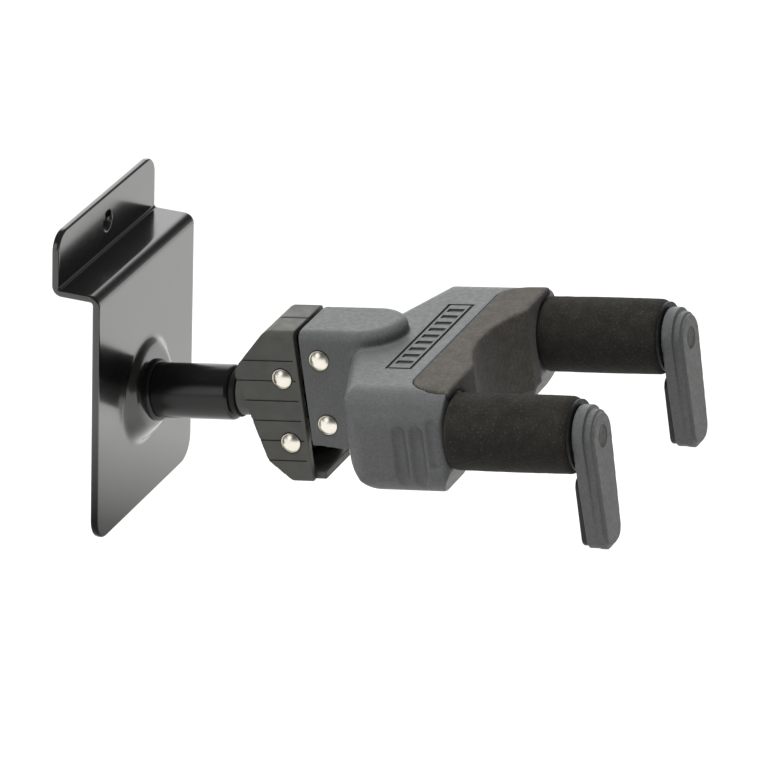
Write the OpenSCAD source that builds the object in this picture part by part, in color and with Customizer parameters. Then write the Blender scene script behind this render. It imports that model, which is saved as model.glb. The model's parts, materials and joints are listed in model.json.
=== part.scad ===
// Slat-wall guitar hanger: a bent wall plate with a tilted post, a swivelling head, a drop
// linkage that lets the yoke sink under load, and two gates that close across the arms.
// Millimetres. +Z is up, the wall is at +Y, the arms point to -Y and tilt upwards.

/* [Wall plate] */
// width of the plate
plate_w = 71.4; // [62:0.2:84]
// sheet thickness
plate_t = 2.3; // [1.8:0.1:3]
// plate height below the post axis
plate_down = 37.3; // [34:0.1:46]
// plate height above the post axis
plate_up = 44.7; // [40:0.5:52]
// reach of the fold behind the plate's front face
fold_reach = 15.65; // [13:0.05:19]
// height of the lip above the fold
lip_h = 17.6; // [12:0.1:22]
// radius of the hole in the lip
lip_hole_r = 2; // [1.6:0.1:2.6]

/* [Post] */
// height of the post axis above the origin
post_z = 25; // [25:0.5:26]
// upward tilt of the post
tilt = 9.5; // [6:0.5:12]
// radius of the post
post_r = 8.5; // [7.9:0.1:8.8]

/* [Arms] */
// distance between the two arm axes
arm_gap = 77; // [76:0.5:79]
// radius of the foam sleeve
foam_r = 11.5; // [10:0.1:12.5]
// radius of the steel arm tube
tube_r = 7; // [6:0.1:7.4]
// end of the foam sleeve, measured along the post axis from the plate
foam_end = 157; // [150:0.2:157]

/* [Gates] */
// radius of the gate around its pivot
gate_r = 7.8; // [7:0.1:8.2]
// length of the gate below its pivot
gate_len = 34.5; // [30:0.5:35]

/* [Hidden] */
$fn = 64;

// post frame: x to the side, v outwards along the post, w upwards
arm_x = arm_gap / 2;
arm_w = 6;
bend_in = 0.9;
bend_out = bend_in + plate_t;
plate_corner_r = 7.6;
lip_corner_r = 6;
lip_hole_z = plate_up + 8.7;
countersink_r = 3.3;
countersink_t = 0.9;
dome_ball_r = 21.4;
dome_ball_back = 13.7;
dome_flat_v = 4;
post_v0 = 0.7;
post_v1 = 31;
post_edge_r = 1.4;
post_bore_r = 4.05;
post_bore_v0 = 9;
collar_r = 9.6;
collar_v1 = 5.4;
bolt_r = 4;
bolt_head_r = 6.2;
bolt_head_v0 = 44.2;
bolt_head_v1 = 47.6;
bush_r = 7.5;
bush_v1 = 32.8;
neck_r = 6.8;
neck_v0 = 32.9;
neck_bore_r = 4.06;

// linkage
rear_v = 52;
front_v = 65;
upper_rear_w = 9.8;
lower_rear_w = -11;
link_rise = 6.2;
upper_front_w = upper_rear_w + link_rise;
lower_front_w = lower_rear_w + link_rise;
link_angle = atan(link_rise / (front_v - rear_v));
link_len = sqrt(pow(front_v - rear_v, 2) + pow(link_rise, 2));
link_eye_r = 4.2;
link_out = 6;
link_in = 4;
link_hole_r = 2.05;
rivet_r = 2;
rivet_head_r = 3.1;
rivet_head_t = 1.5;
rivet_ball_r = 4.9;
rivet_seat_r = 3.3;
rivet_seat_t = 0.5;
cheek_x = 12;
cheek_in = 9.5;
spacer_r = 3.4;
crank_arm = 12.5;
crank_arm_angle = link_angle + 10;
drive_pin_r = 1.5;
drive_pin_v = front_v + crank_arm * cos(crank_arm_angle);
drive_pin_w = lower_front_w + crank_arm * sin(crank_arm_angle);
drop_angle = 36;
drive_travel = crank_arm * (sin(crank_arm_angle) - sin(crank_arm_angle - drop_angle));

// return spring
spring_wire_r = 0.6;
spring_coil_r = 3.4;
spring_turns = 6;
spring_pitch = 1.12;

// head
head_top = 24.9;
head_v1 = 57.7;
head_floor_w = -23.7;
groove_low = -17.1;
groove_step = 6.48;
groove_t = 0.5;
groove_v1 = 56.4;
floor_t = 2.4;
floor_v0 = 51.1;
floor_back = 1.7;
floor_v1 = 61;
floor_x = 9.4;

// yoke
yoke_x = 48.5;
yoke_top = 20;
yoke_bottom = -11.8;
block_v0 = 59;
shell_t = 2;
shoulder_r = 10;
belly_r = 8;
lip_drop = 0.75;
rear_slope = 18.2;
rear_x = 20;
rear_v0 = 78.2;
rear_low_r = 12;
rear_top_r = 4.5;
corner_x = yoke_x - belly_r;
corner_v = rear_wall(corner_x) + belly_r / cos(rear_slope);
chin_v = 114.9;
chin_w = -4;
cap_top = 24.8;
cap_end_v = 89.2;
cap_x = 12;
cap_edge_r = 3;
boss_end_v = 118.7;
crotch_v = 108;
cavity_top = 17.4;
cavity_v1 = 99.6;
socket_x0 = 27;
cover_t = shell_t;
cover_gap = 0.1;
screw_r = 1.5;
screw_boss_r = 2.9;
screw_head_r = 2.4;
screw_spots = [[-6.3, 84.5], [6.3, 84.5], [-20, 101], [20, 101]];
cover_rear_n = 11.6;
flute_r = 2.6;

// soft pad
pad_top = 20.4;
pad_low_w = -5.5;
pad_floor_w = 17.3;
pad_v1 = 119.3;
channel_r = 42.7;
channel_v = 156.2;

// gate drive
shaft_r = 2.98;
shaft_hole_r = 3;
bearing_r = 3.05;
shaft_v0 = 97;
shaft_v1 = 163.4;
crank_r = drive_travel / (2 * sin(45));
crank_pin_r = 1.4;
crank_pin_w = arm_w + crank_r * sin(45);
crank_pin_x = arm_x + crank_r * cos(45);
crank_v0 = 97;
crank_v1 = 99.2;
fork_half = crank_pin_r + 0.35;
fork_wall = 1.8;
fork_v0 = 93;
fork_v1 = 95.6;
fork_x = 45.9;
guide_x = 24;
guide_r = 1.75;
guide_hole_r = 1.81;
guide_boss_r = 3.3;

// gates
flange_v0 = 158.2;
flange_v1 = 161.6;
lever_v1 = 164.5;
gate_pad_v0 = 156;
plug_r = 3.25;

// ---- helpers -------------------------------------------------------------

// children drawn with -Y outwards along the post and the plate's front face at y = 0
module on_post() {
    translate([0, -plate_t, post_z]) rotate([-tilt, 0, 0]) children();
}

// a round bar along the post direction, from v0 to v1
module bar(r, v0, v1) {
    translate([0, -v1, 0]) rotate([-90, 0, 0]) cylinder(h = v1 - v0, r = r);
}

// a shape drawn in (v, w), spread evenly about x = 0
module side_shape(width) {
    rotate([90, 0, -90]) linear_extrude(height = width, center = true) children();
}

// the same between two x values
module side_slab(x0, x1) {
    translate([(x0 + x1) / 2, 0, 0]) side_shape(x1 - x0) children();
}

// a shape drawn in (x, w), from v0 to v1
module front_shape(v0, v1) {
    translate([0, -v0, 0]) rotate([90, 0, 0]) linear_extrude(height = v1 - v0) children();
}

// a shape drawn in (x, v), from w0 to w1
module plan_shape(w0, w1) {
    translate([0, 0, w0]) mirror([0, 1, 0]) linear_extrude(height = w1 - w0) children();
}

// a round bar along x at a point of the side view
module cross_bar(r, v, w, half) {
    translate([-half, -v, w]) rotate([0, 90, 0]) cylinder(h = 2 * half, r = r);
}

// a closed outline from its right-hand half
function mirrored_loop(right) = concat(
    right, [for (i = [len(right) - 1 : -1 : 0]) [-right[i][0], right[i][1]]]);

module rounded_rect(x0, y0, x1, y1, r) {
    translate([x0 + r, y0]) square([x1 - x0 - 2 * r, y1 - y0]);
    translate([x0, y0 + r]) square([x1 - x0, y1 - y0 - 2 * r]);
    for (x = [x0 + r, x1 - r], y = [y0 + r, y1 - r]) translate([x, y]) circle(r = r);
}

module both_sides() {
    children();
    mirror([1, 0, 0]) children();
}

// ---- wall bracket --------------------------------------------------------

// the bent sheet in (y, z), with z counted from the post axis
module sheet_profile() {
    fold_low = plate_up - plate_t;
    lip_back = fold_reach - plate_t;
    lip_front = lip_back - plate_t;
    difference() {
        union() {
            translate([-plate_t, -plate_down]) square([plate_t, plate_down + plate_up - bend_out]);
            translate([-plate_t, plate_up - bend_out]) square([bend_out, bend_out]);
            translate([bend_in, fold_low]) square([lip_front - 2 * bend_in, plate_t]);
            translate([lip_front - bend_in, fold_low]) square([bend_out, bend_out]);
            translate([lip_front, fold_low + bend_out]) square([plate_t, lip_h + plate_t - bend_out]);
        }
        bend_cut(bend_in, plate_up - bend_out, -1, 1);
        bend_cut(lip_front - bend_in, fold_low + bend_out, 1, -1);
    }
}

// rounds one bend: outside and inside radii about the same centre
module bend_cut(cy, cz, sy, sz) {
    translate([cy, cz]) difference() {
        scale_corner(sy, sz, bend_out + 1);
        circle(r = bend_out);
    }
    translate([cy, cz]) intersection() {
        scale_corner(sy, sz, bend_in);
        circle(r = bend_in);
    }
}

module scale_corner(sy, sz, size) {
    translate([sy > 0 ? 0 : -size, sz > 0 ? 0 : -size]) square([size, size]);
}

module plate_outline() {
    low = post_z - plate_down;
    lip_top = post_z + plate_up + lip_h;
    translate([-plate_w / 2, low]) union() {
        translate([plate_corner_r, 0]) square([plate_w - 2 * plate_corner_r, plate_corner_r]);
        for (x = [plate_corner_r, plate_w - plate_corner_r])
            translate([x, plate_corner_r]) circle(r = plate_corner_r);
        translate([0, plate_corner_r])
            square([plate_w, lip_top - low - plate_corner_r - lip_corner_r]);
        translate([lip_corner_r, lip_top - low - lip_corner_r])
            square([plate_w - 2 * lip_corner_r, lip_corner_r]);
        for (x = [lip_corner_r, plate_w - lip_corner_r])
            translate([x, lip_top - low - lip_corner_r]) circle(r = lip_corner_r);
    }
}

// the half space in front of the post frame's plane v
module ahead_of(v) {
    on_post() translate([-60, -v - 60, -60]) cube([120, 60, 120]);
}

module wall_plate() color([0.09, 0.09, 0.09]) {
    difference() {
        union() {
            intersection() {
                translate([0, 0, post_z]) rotate([90, 0, 90])
                    linear_extrude(height = plate_w, center = true) sheet_profile();
                translate([0, 20, 0]) rotate([90, 0, 0])
                    linear_extrude(height = 40) plate_outline();
            }
            difference() {
                translate([0, dome_ball_back - plate_t, post_z]) sphere(r = dome_ball_r);
                translate([-30, -plate_t / 2, post_z - 30]) cube([60, 60, 60]);
                ahead_of(dome_flat_v);
            }
        }
        difference() {
            translate([0, dome_ball_back - plate_t, post_z]) sphere(r = dome_ball_r - plate_t);
            ahead_of(dome_flat_v - plate_t);
            translate([-30, 1, post_z - 30]) cube([60, 60, 60]);
        }
        on_post() bar(post_r + 0.05, -6, 12);
        translate([0, fold_reach, post_z + lip_hole_z]) rotate([90, 0, 0])
            cylinder(h = 3 * plate_t, r = lip_hole_r);
        translate([0, fold_reach - 2 * plate_t - 0.01, post_z + lip_hole_z]) rotate([-90, 0, 0])
            cylinder(h = countersink_t, r1 = countersink_r, r2 = lip_hole_r);
    }
}

module post_tube() color([0.05, 0.05, 0.05]) on_post() {
    difference() {
        union() {
            bar(post_r, post_v0, post_v1 - post_edge_r);
            bar(post_r - post_edge_r, post_v1 - 2 * post_edge_r, post_v1);
            translate([0, -(post_v1 - post_edge_r), 0]) rotate([90, 0, 0])
                rotate_extrude() translate([post_r - post_edge_r, 0]) circle(r = post_edge_r);
        }
        bar(post_bore_r, post_bore_v0, post_v1 + 1);
    }
}

module post_collar() color([0.06, 0.06, 0.06]) on_post() {
    difference() {
        translate([0, -dome_flat_v, 0]) rotate([90, 0, 0])
            cylinder(h = collar_v1 - dome_flat_v, r1 = collar_r, r2 = collar_r - 1);
        bar(post_r + 0.02, 0, 12);
    }
}

module swivel_bolt() color([0.6, 0.6, 0.6]) on_post() {
    bar(bolt_r, post_bore_v0 + 1, bolt_head_v0);
    difference() {
        bar(bolt_head_r, bolt_head_v0, bolt_head_v1);
        translate([0, -(bolt_head_v1 - 2), 0]) rotate([90, 0, 0])
            cylinder(h = 3, r = 3.2, $fn = 6);
    }
}

module swivel_bush() color([0.03, 0.03, 0.03]) on_post() {
    difference() {
        bar(bush_r, post_v1, bush_v1);
        bar(bolt_r + 0.06, post_v1 - 1, bush_v1 + 1);
    }
}

module swivel_washer() color([0.7, 0.7, 0.68]) on_post() {
    difference() {
        bar(bolt_head_r + 0.6, bolt_head_v0 - 1, bolt_head_v0);
        bar(bolt_r + 0.06, 40, 50);
    }
}

// ---- swivelling head -----------------------------------------------------

module head_side() {
    polygon([
        [36.5, 10.4], [36.9, 12.1], [38.4, 14.5], [47.2, 24], [48.9, head_top],
        [head_v1, head_top], [head_v1, head_floor_w], [51, head_floor_w], [43.7, -17.2],
        [41, -7.2], [38.3, 4.1], [36.9, 8.8]
    ]);
}

module head_hollow() {
    polygon([
        [43.1, -8], [43.1, 11.5], [49.2, 22.6], [head_v1 + 1, 22.6],
        [head_v1 + 1, head_floor_w - 1], [51.6, head_floor_w - 1], [46.6, -17.6]
    ]);
}

// the head seen from the front, with softened edges
module head_front() {
    rim = 1.8;
    chin = 0.9;
    translate([-cheek_x, head_floor_w + chin])
        square([2 * cheek_x, head_top - head_floor_w - chin - rim]);
    translate([-cheek_x + rim, head_floor_w])
        square([2 * (cheek_x - rim), head_top - head_floor_w]);
    translate([-cheek_x + chin, head_floor_w]) square([2 * (cheek_x - chin), 5]);
    for (x = [-cheek_x + rim, cheek_x - rim]) translate([x, head_top - rim]) circle(r = rim);
    for (x = [-cheek_x + chin, cheek_x - chin]) translate([x, head_floor_w + chin])
        circle(r = chin);
}

module rivet_seats(spots) {
    for (p = spots) {
        cross_bar(rivet_r + 0.02, p[0], p[1], cheek_x + 1);
        both_sides() translate([cheek_x - rivet_seat_t, -p[0], p[1]]) rotate([0, 90, 0])
            cylinder(h = 3, r = rivet_seat_r);
    }
}

module head_housing() color([0.17, 0.17, 0.16]) on_post() {
    difference() {
        union() {
            intersection() {
                side_shape(2 * cheek_x) head_side();
                front_shape(36, 59) head_front();
            }
            bar(neck_r, neck_v0, 42);
        }
        side_shape(2 * cheek_in) head_hollow();
        bar(neck_bore_r, neck_v0 - 1, 44);
        rivet_seats([[rear_v, upper_rear_w], [rear_v, lower_rear_w]]);
        for (w = [groove_low : groove_step : head_top - 5])
            both_sides() translate([cheek_x - groove_t, -groove_v1, w]) cube([2, 21, groove_t]);
        translate([-groove_t / 2, -head_v1 - 1, head_top - groove_t])
            cube([groove_t, 12, 1]);
    }
}

module head_floor() color([0.2, 0.2, 0.19]) on_post() {
    side_shape(2 * floor_x) translate([0, head_floor_w])
        polygon([[floor_v0, 0], [floor_v0 - floor_back, floor_t], [floor_v1, floor_t], [floor_v1, 0]]);
}

module rivet(v, w) {
    cross_bar(rivet_r, v, w, cheek_x - 0.1);
    both_sides() translate([cheek_x - rivet_seat_t, -v, w]) rotate([0, 90, 0]) intersection() {
        cylinder(h = rivet_head_t, r = rivet_head_r);
        translate([0, 0, rivet_head_t - rivet_ball_r]) sphere(r = rivet_ball_r);
    }
}

module spacer(v, w) {
    both_sides() difference() {
        translate([link_out + 0.1, -v, w]) rotate([0, 90, 0])
            cylinder(h = cheek_in - link_out - 0.15, r = spacer_r);
        cross_bar(rivet_r + 0.02, v, w, cheek_x);
    }
}

module rear_rivets() color([0.85, 0.83, 0.78]) on_post() {
    rivet(rear_v, upper_rear_w);
    rivet(rear_v, lower_rear_w);
}

module rear_spacers() color([0.8, 0.8, 0.76]) on_post() {
    spacer(rear_v, upper_rear_w);
    spacer(rear_v, lower_rear_w);
}

// the wound coil as one ribbed sleeve, in (radius, along)
module coil_profile() {
    ribs = spring_turns - 1;
    start = -spring_pitch * ribs / 2;
    outer = [for (k = [0 : ribs], a = [-60 : 30 : 60])
        [spring_coil_r + spring_wire_r * cos(a), start + k * spring_pitch + spring_wire_r * sin(a)]];
    inner = [for (k = [ribs : -1 : 0], a = [60 : -30 : -60])
        [spring_coil_r - spring_wire_r * cos(a), start + k * spring_pitch + spring_wire_r * sin(a)]];
    polygon(concat(outer, inner));
}

// a straight leg outside the coil, at an angle above the outward direction
module spring_leg(x, angle, length) {
    translate([x, -rear_v, upper_rear_w]) rotate([-angle, 0, 0])
        translate([0, 0, -spring_coil_r - 2 * spring_wire_r - 0.05]) rotate([90, 0, 0])
            cylinder(h = length, r = spring_wire_r);
}

module return_spring() color([0.55, 0.55, 0.55]) on_post() {
    translate([0, -rear_v, upper_rear_w]) rotate([0, 90, 0]) rotate_extrude() coil_profile();
    spring_leg(2.6, link_angle, 9);
    spring_leg(-2.6, 232, 7);
}

// ---- links ---------------------------------------------------------------

// a straight strap with an eye at each end, drawn along +x from the first eye
module strap(length, waist) {
    circle(r = link_eye_r);
    translate([length, 0]) circle(r = link_eye_r);
    translate([0, -waist]) square([length, 2 * waist]);
}

module link_plates() {
    both_sides() side_slab(link_in, link_out) children();
}

module upper_link() color([0.3, 0.3, 0.31]) on_post() {
    difference() {
        union() {
            link_plates() translate([rear_v, upper_rear_w]) rotate(link_angle)
                strap(link_len, 3.4);
            side_shape(2 * link_in) translate([rear_v, upper_rear_w]) rotate(link_angle)
                translate([6, -3.95]) square([2.6, 3.4]);
        }
        cross_bar(link_hole_r, rear_v, upper_rear_w, cheek_x);
        cross_bar(link_hole_r, front_v, upper_front_w, cheek_x);
    }
}

module lower_link() color([0.3, 0.3, 0.31]) on_post() {
    difference() {
        union() {
            link_plates() union() {
                translate([rear_v, lower_rear_w]) rotate(link_angle) strap(link_len, 3.4);
                translate([front_v, lower_front_w]) rotate(crank_arm_angle) {
                    translate([0, -2.4]) square([crank_arm, 4.8]);
                    translate([crank_arm, 0]) circle(r = 2.8);
                }
            }
            side_shape(2 * link_in) translate([rear_v, lower_rear_w]) rotate(link_angle)
                translate([5.6, -1.6]) square([3, 3.2]);
        }
        cross_bar(link_hole_r, rear_v, lower_rear_w, cheek_x);
        cross_bar(link_hole_r, front_v, lower_front_w, cheek_x);
        cross_bar(drive_pin_r + 0.01, drive_pin_v, drive_pin_w, cheek_x);
    }
}

module drive_pin() color([0.75, 0.75, 0.74]) on_post() {
    cross_bar(drive_pin_r, drive_pin_v, drive_pin_w, link_out + 0.3);
}

// ---- yoke ----------------------------------------------------------------

// the rear wall's line in plan, on either side
function rear_wall(x) = rear_v0 + (x - rear_x) * tan(rear_slope);

// the rounded rear corner in plan
function corner_arc(r) = [for (k = [0 : 8])
    let (a = (rear_slope - 90) * (1 - k / 8)) [corner_x + r * cos(a), corner_v + r * sin(a)]];

// the yoke in plan, from the block's rear edge to the arm bosses
module yoke_plan() {
    right = concat(
        [[cheek_x, 73], [cheek_x, 74.5], [14.6, 76.3], [rear_x, rear_v0]],
        corner_arc(belly_r),
        [[yoke_x, boss_end_v - 1.6], [yoke_x - 0.8, boss_end_v - 0.5], [yoke_x - 2.4, boss_end_v],
         [socket_x0 + 1, boss_end_v], [socket_x0 + 1, crotch_v]]);
    polygon(mirrored_loop(right));
}

// everything ahead of the right rear wall, drawn in by an inset, with rounded edges
module rear_space(inset) {
    low = rear_low_r - inset;
    high = max(rear_top_r - inset, 0.5);
    base = yoke_bottom + inset;
    translate([rear_x, -rear_v0, 0]) rotate([0, 0, -rear_slope]) side_shape(220) {
        translate([rear_low_r, base]) square([80, yoke_top - base]);
        translate([inset + high, base + low]) square([80, yoke_top - base - low]);
        translate([inset, base + low]) square([80, yoke_top - high - base - low]);
        translate([rear_low_r, base + low]) circle(r = low);
        translate([inset + high, yoke_top - high]) circle(r = high);
    }
}

// the yoke seen from the front: a wide round shoulder and a rounded underside
module yoke_front(inset) {
    half = yoke_x - inset;
    shoulder = shoulder_r - inset;
    belly = belly_r - inset;
    base = yoke_bottom + inset;
    top = yoke_top - inset;
    translate([-half + shoulder, base + belly])
        square([2 * (half - shoulder), top - base - belly]);
    translate([-half, base + belly]) square([2 * half, top - shoulder - base - belly]);
    translate([-half + belly, base]) square([2 * (half - belly), 2 * belly]);
    for (x = [-half + shoulder, half - shoulder]) translate([x, top - shoulder])
        circle(r = shoulder);
    for (x = [-half + belly, half - belly]) translate([x, base + belly]) circle(r = belly);
}

// the bosses' chamfered lower front edge, in (v, w)
module yoke_side() {
    polygon([
        [block_v0, yoke_bottom - 1], [chin_v - 0.5, yoke_bottom - 1], [chin_v, yoke_bottom],
        [boss_end_v, chin_w], [boss_end_v, yoke_top + 1], [block_v0, yoke_top + 1]
    ]);
}

module block_front() {
    edge = cap_edge_r;
    translate([-cheek_x, yoke_bottom]) square([2 * cheek_x, cap_top - yoke_bottom - edge]);
    translate([-cheek_x + edge, 10]) square([2 * (cheek_x - edge), cap_top - 10]);
    for (x = [-cheek_x + edge, cheek_x - edge]) translate([x, cap_top - edge]) circle(r = edge);
}

// half of the cap's section: a straight wall and a rounded rim
function cap_rim(half) = concat(
    [[0.5, 12], [half, 12]],
    [for (a = [0 : 15 : 75]) [half + cap_edge_r * (cos(a) - 1), cap_top + cap_edge_r * (sin(a) - 1)]],
    [[half - cap_edge_r, cap_top], [0.5, cap_top]]);

// the raised cap over the block, with a round end
module cap_solid() {
    tip_v = cap_end_v - cap_x;
    translate([0, -tip_v, 0]) rotate_extrude() polygon(cap_rim(cap_x));
    front_shape(block_v0 + 6, tip_v + 0.8) polygon(mirrored_loop(cap_rim(cap_x - 0.05)));
}

// one vertical flute in a boss's outer side
module flute(x, v, w0, w1) {
    translate([x, -v, w0]) cylinder(h = w1 - w0, r = flute_r);
    translate([x, -v, w1]) sphere(r = flute_r);
}

module screw_posts(base, height, r) {
    for (p = screw_spots) translate([p[0], -p[1], base]) cylinder(h = height, r = r);
}

// the round channel for the guitar's neck between the bosses
module neck_channel(r) {
    translate([0, -channel_v, -30]) cylinder(h = 70, r = r);
}

// the pad's outline on the yoke's top, drawn out by a gap
module pad_plan(gap) {
    right = [
        [34.4 + gap, 105.2 - gap], [37.2 + gap, 106.4 - gap], [39.8 + gap, 109.2 - gap],
        [41.4 + gap, 112.4], [42.2 + gap, 116], [42.3 + gap, pad_v1 + gap]
    ];
    polygon(mirrored_loop(right));
}

module yoke_housing() color([0.42, 0.43, 0.44]) on_post() {
    difference() {
        union() {
            intersection() {
                plan_shape(yoke_bottom, yoke_top) yoke_plan();
                front_shape(block_v0, boss_end_v) yoke_front(0);
                side_shape(2 * yoke_x + 2) yoke_side();
                rear_space(0);
                mirror([1, 0, 0]) rear_space(0);
            }
            side_shape(2 * cheek_x) translate([70, yoke_bottom]) square([14, 30.8]);
            front_shape(block_v0, 75) block_front();
            side_shape(2 * cheek_x) translate([block_v0, yoke_bottom])
                polygon([[2.5, 1], [2.5, 0], [9, -lip_drop], [17, -lip_drop], [18.5, 0], [18.5, 1]]);
            cap_solid();
        }
        difference() {
            union() {
                side_shape(2 * cheek_in) translate([block_v0 - 1, yoke_bottom - 1])
                    square([21, 23.4 - yoke_bottom]);
                intersection() {
                    plan_shape(yoke_bottom, cavity_top) cavity_plan();
                    front_shape(block_v0, boss_end_v) yoke_front(shell_t);
                    rear_space(shell_t);
                    mirror([1, 0, 0]) rear_space(shell_t);
                }
                plan_shape(yoke_bottom - 1, yoke_bottom + shell_t + 1) cover_plan(0);
            }
            screw_posts(yoke_bottom + cover_t + cover_gap, 40, screw_boss_r);
        }
        screw_posts(yoke_bottom - 1, 13, screw_r + 0.02);
        both_sides() translate([arm_x, 0, arm_w]) bar(tube_r + 0.02, cavity_v1 - 1, boss_end_v + 1);
        rivet_seats([[front_v, upper_front_w], [front_v, lower_front_w]]);
        plan_shape(pad_floor_w, yoke_top + 1) pad_plan(0.1);
        neck_channel(channel_r + 0.7);
        both_sides() flute(yoke_x + 1.3, 104.4, -14, 9);
        both_sides() flute(yoke_x + 1.3, 110, -14, 9);
        both_sides() flute(yoke_x + 1.6, 115.2, -2, 12);
    }
}

// the room inside the yoke in plan
module cavity_plan() {
    right = concat(
        [[cheek_in, 66], [cheek_in, rear_wall(cheek_in) + shell_t / cos(rear_slope)]],
        corner_arc(belly_r - shell_t),
        [[yoke_x - shell_t, cavity_v1], [socket_x0, cavity_v1], [25, 104.6]]);
    polygon(mirrored_loop(right));
}

// the opening in the yoke's underside, drawn in by a gap all round
module cover_plan(gap) {
    rear_edge = cover_rear_n / cos(rear_slope);
    right = [
        [cheek_in - gap, 66 + gap], [cheek_in - gap, rear_edge + rear_wall(cheek_in) + gap],
        [36 - gap, rear_edge + rear_wall(36) + gap], [36 - gap, cavity_v1 - gap],
        [socket_x0 - gap, cavity_v1 - gap],
        [25 - gap, 104.6 - gap]
    ];
    polygon(mirrored_loop(right));
}

module yoke_cover() color([0.3, 0.3, 0.31]) on_post() {
    difference() {
        plan_shape(yoke_bottom, yoke_bottom + cover_t) cover_plan(cover_gap);
        screw_posts(yoke_bottom - 1, 13, screw_r + 0.1);
        screw_posts(yoke_bottom - 1, 2, screw_head_r + 0.2);
    }
}

module cover_screws() color([0.12, 0.12, 0.12]) on_post() {
    for (p = screw_spots) translate([p[0], -p[1], yoke_bottom + 0.2]) {
        difference() {
            cylinder(h = 0.8, r = screw_head_r);
            translate([0, 0, -1]) cylinder(h = 1.5, r = 1, $fn = 6);
        }
        cylinder(h = 8.5, r = screw_r);
    }
}

module front_rivets() color([0.85, 0.83, 0.78]) on_post() {
    rivet(front_v, upper_front_w);
    rivet(front_v, lower_front_w);
}

module front_spacers() color([0.8, 0.8, 0.76]) on_post() {
    spacer(front_v, upper_front_w);
    spacer(front_v, lower_front_w);
}

module guide_posts() color([0.75, 0.75, 0.74]) on_post() {
    for (x = [-guide_x, guide_x])
        translate([x, -(fork_v0 + fork_v1) / 2, yoke_bottom + cover_t + 0.05])
            cylinder(h = cavity_top - yoke_bottom - cover_t - 0.1, r = guide_r);
}

// ---- soft saddle between the arms ----------------------------------------

module neck_pad() color([0.33, 0.31, 0.28]) on_post() {
    difference() {
        intersection() {
            union() {
                plan_shape(pad_floor_w + 0.05, pad_top) pad_plan(0);
                plan_shape(pad_low_w, pad_floor_w + 1) translate([-socket_x0 - 0.9, crotch_v + 0.1])
                    square([2 * socket_x0 + 1.8, pad_v1 - crotch_v - 0.1]);
                plan_shape(arm_w, pad_floor_w + 1) translate([-arm_x, boss_end_v + 0.05])
                    square([2 * arm_x, pad_v1 - boss_end_v - 0.05]);
            }
            front_shape(104, pad_v1) {
                translate([-38.5, pad_low_w]) square([77, pad_top - pad_low_w]);
                translate([-48, pad_low_w]) square([96, 15]);
                for (x = [-38.5, 38.5]) translate([x, 10.4]) circle(r = 10);
            }
        }
        neck_channel(channel_r);
        both_sides() translate([arm_x, 0, arm_w]) bar(foam_r + 0.3, boss_end_v - 0.1, 130);
    }
}

// ---- arms ----------------------------------------------------------------

module arm_tube() color([0.5, 0.5, 0.5]) on_post() translate([arm_x, 0, arm_w]) difference() {
    bar(tube_r, cavity_v1 + 0.1, foam_end);
    bar(tube_r - 1.8, cavity_v1, foam_end + 1);
}

module foam() color([0.13, 0.12, 0.11]) on_post() translate([arm_x, 0, arm_w]) difference() {
    union() {
        bar(foam_r, boss_end_v + 0.3, foam_end - 1.5);
        translate([0, -(foam_end - 1.5), 0]) rotate([90, 0, 0])
            cylinder(h = 1.5, r1 = foam_r, r2 = foam_r - 1.5);
    }
    bar(tube_r + 0.05, boss_end_v, foam_end + 1);
}

module rear_bearing() color([0.8, 0.8, 0.76]) on_post() translate([arm_x, 0, arm_w])
    difference() {
        bar(tube_r - 1.85, cavity_v1 + 0.2, cavity_v1 + 6);
        bar(bearing_r, cavity_v1, cavity_v1 + 8);
    }

module front_bearing() color([0.04, 0.04, 0.04]) on_post() translate([arm_x, 0, arm_w])
    difference() {
        union() {
            bar(tube_r - 1.85, foam_end - 6, foam_end + 0.3);
            bar(10.6, foam_end + 0.1, flange_v0 - 0.3);
        }
        bar(bearing_r, foam_end - 8, flange_v0 + 1);
    }

module left_arm_tube() mirror([1, 0, 0]) arm_tube();
module right_arm_tube() arm_tube();
module left_foam() mirror([1, 0, 0]) foam();
module right_foam() foam();
module left_rear_bearing() mirror([1, 0, 0]) rear_bearing();
module right_rear_bearing() rear_bearing();
module left_front_bearing() mirror([1, 0, 0]) front_bearing();
module right_front_bearing() front_bearing();

// ---- gate drive ----------------------------------------------------------

module drive_plate() color([0.62, 0.62, 0.6]) on_post() {
    mid_v = (fork_v0 + fork_v1) / 2;
    slot_end = drive_pin_v + 2.4;
    difference() {
        union() {
            front_shape(fork_v0, fork_v1) translate([-fork_x, crank_pin_w - fork_half - fork_wall])
                square([2 * fork_x, 2 * (fork_half + fork_wall)]);
            for (x = [-guide_x, guide_x])
                translate([x, -mid_v, crank_pin_w - fork_half - fork_wall])
                    cylinder(h = 2 * (fork_half + fork_wall), r = guide_boss_r);
            side_shape(6.4) translate([drive_pin_v - 3.9, drive_pin_w - 2.6])
                square([fork_v1 - drive_pin_v + 3.4, 6.2]);
            side_shape(6.4) translate([fork_v0 - 5, drive_pin_w]) square([6.4, 8]);
        }
        for (x = [-guide_x, guide_x]) translate([x, -mid_v, -10]) cylinder(h = 40, r = guide_hole_r);
        both_sides() front_shape(fork_v0 - 1, fork_v1 + 1) {
            translate([arm_x + 1.4, crank_pin_w - fork_half])
                square([fork_x - arm_x, 2 * fork_half]);
            translate([fork_x, crank_pin_w + fork_half + fork_wall]) rotate(45)
                square([2.2, 2.2], center = true);
        }
        side_shape(8)
            translate([drive_pin_v - 2, drive_pin_w - drive_pin_r - 0.35])
                square([slot_end - drive_pin_v + 3.6, 2 * drive_pin_r + 0.7]);
    }
}

module gate_shaft() color([0.75, 0.75, 0.74]) on_post() translate([arm_x, 0, arm_w])
    bar(shaft_r, shaft_v0, shaft_v1);

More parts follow.
